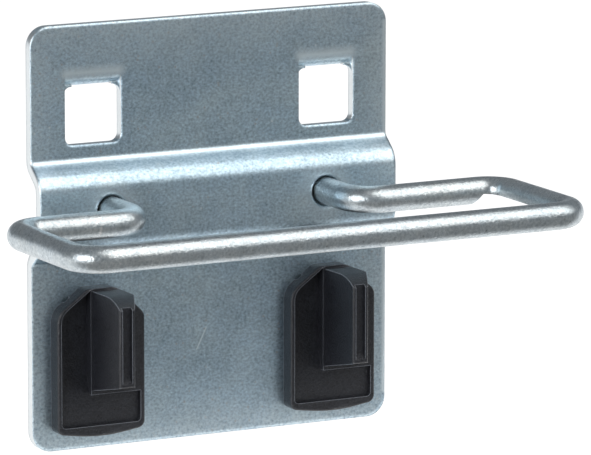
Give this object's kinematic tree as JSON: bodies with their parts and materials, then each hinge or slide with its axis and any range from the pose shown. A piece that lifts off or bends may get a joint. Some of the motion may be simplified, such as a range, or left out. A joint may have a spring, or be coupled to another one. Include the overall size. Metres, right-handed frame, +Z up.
{
  "type": "pegboard hook",
  "caption": "Zinc-plated plate with hooks for a square-hole panel, a wide bent wire loop that holds a tool, and push-in plastic locking clips.",
  "frame": {"origin": "half way between the two upper panel holes, on the plane where the plate's back lies on the panel", "axes": "+X to the right as the user sees it, -Y out of the panel towards the user, +Z up"},
  "size_m": [0.0832, 0.0449, 0.0624],
  "materials": {
    "zinc_sheet": "bright zinc plating, satin, softly mottled",
    "zinc_wire": "bright zinc plating, satin, lighter than the sheet",
    "black_plastic": "moulded, fine satin texture"
  },
  "bodies": {
    "bracket": {"back_plate": "zinc_sheet", "wire_loop": "zinc_wire"},
    "left_clip": {"clip_left": "black_plastic"},
    "right_clip": {"clip_right": "black_plastic"}
  },
  "joints": [
    {"name": "clip_left_pull", "type": "slide", "parent": "bracket", "child": "left_clip", "axis": [0, -1, 0], "range_m": [0, 0.0015]},
    {"name": "clip_right_pull", "type": "slide", "parent": "bracket", "child": "right_clip", "axis": [0, -1, 0], "range_m": [0, 0.0015]}
  ]
}
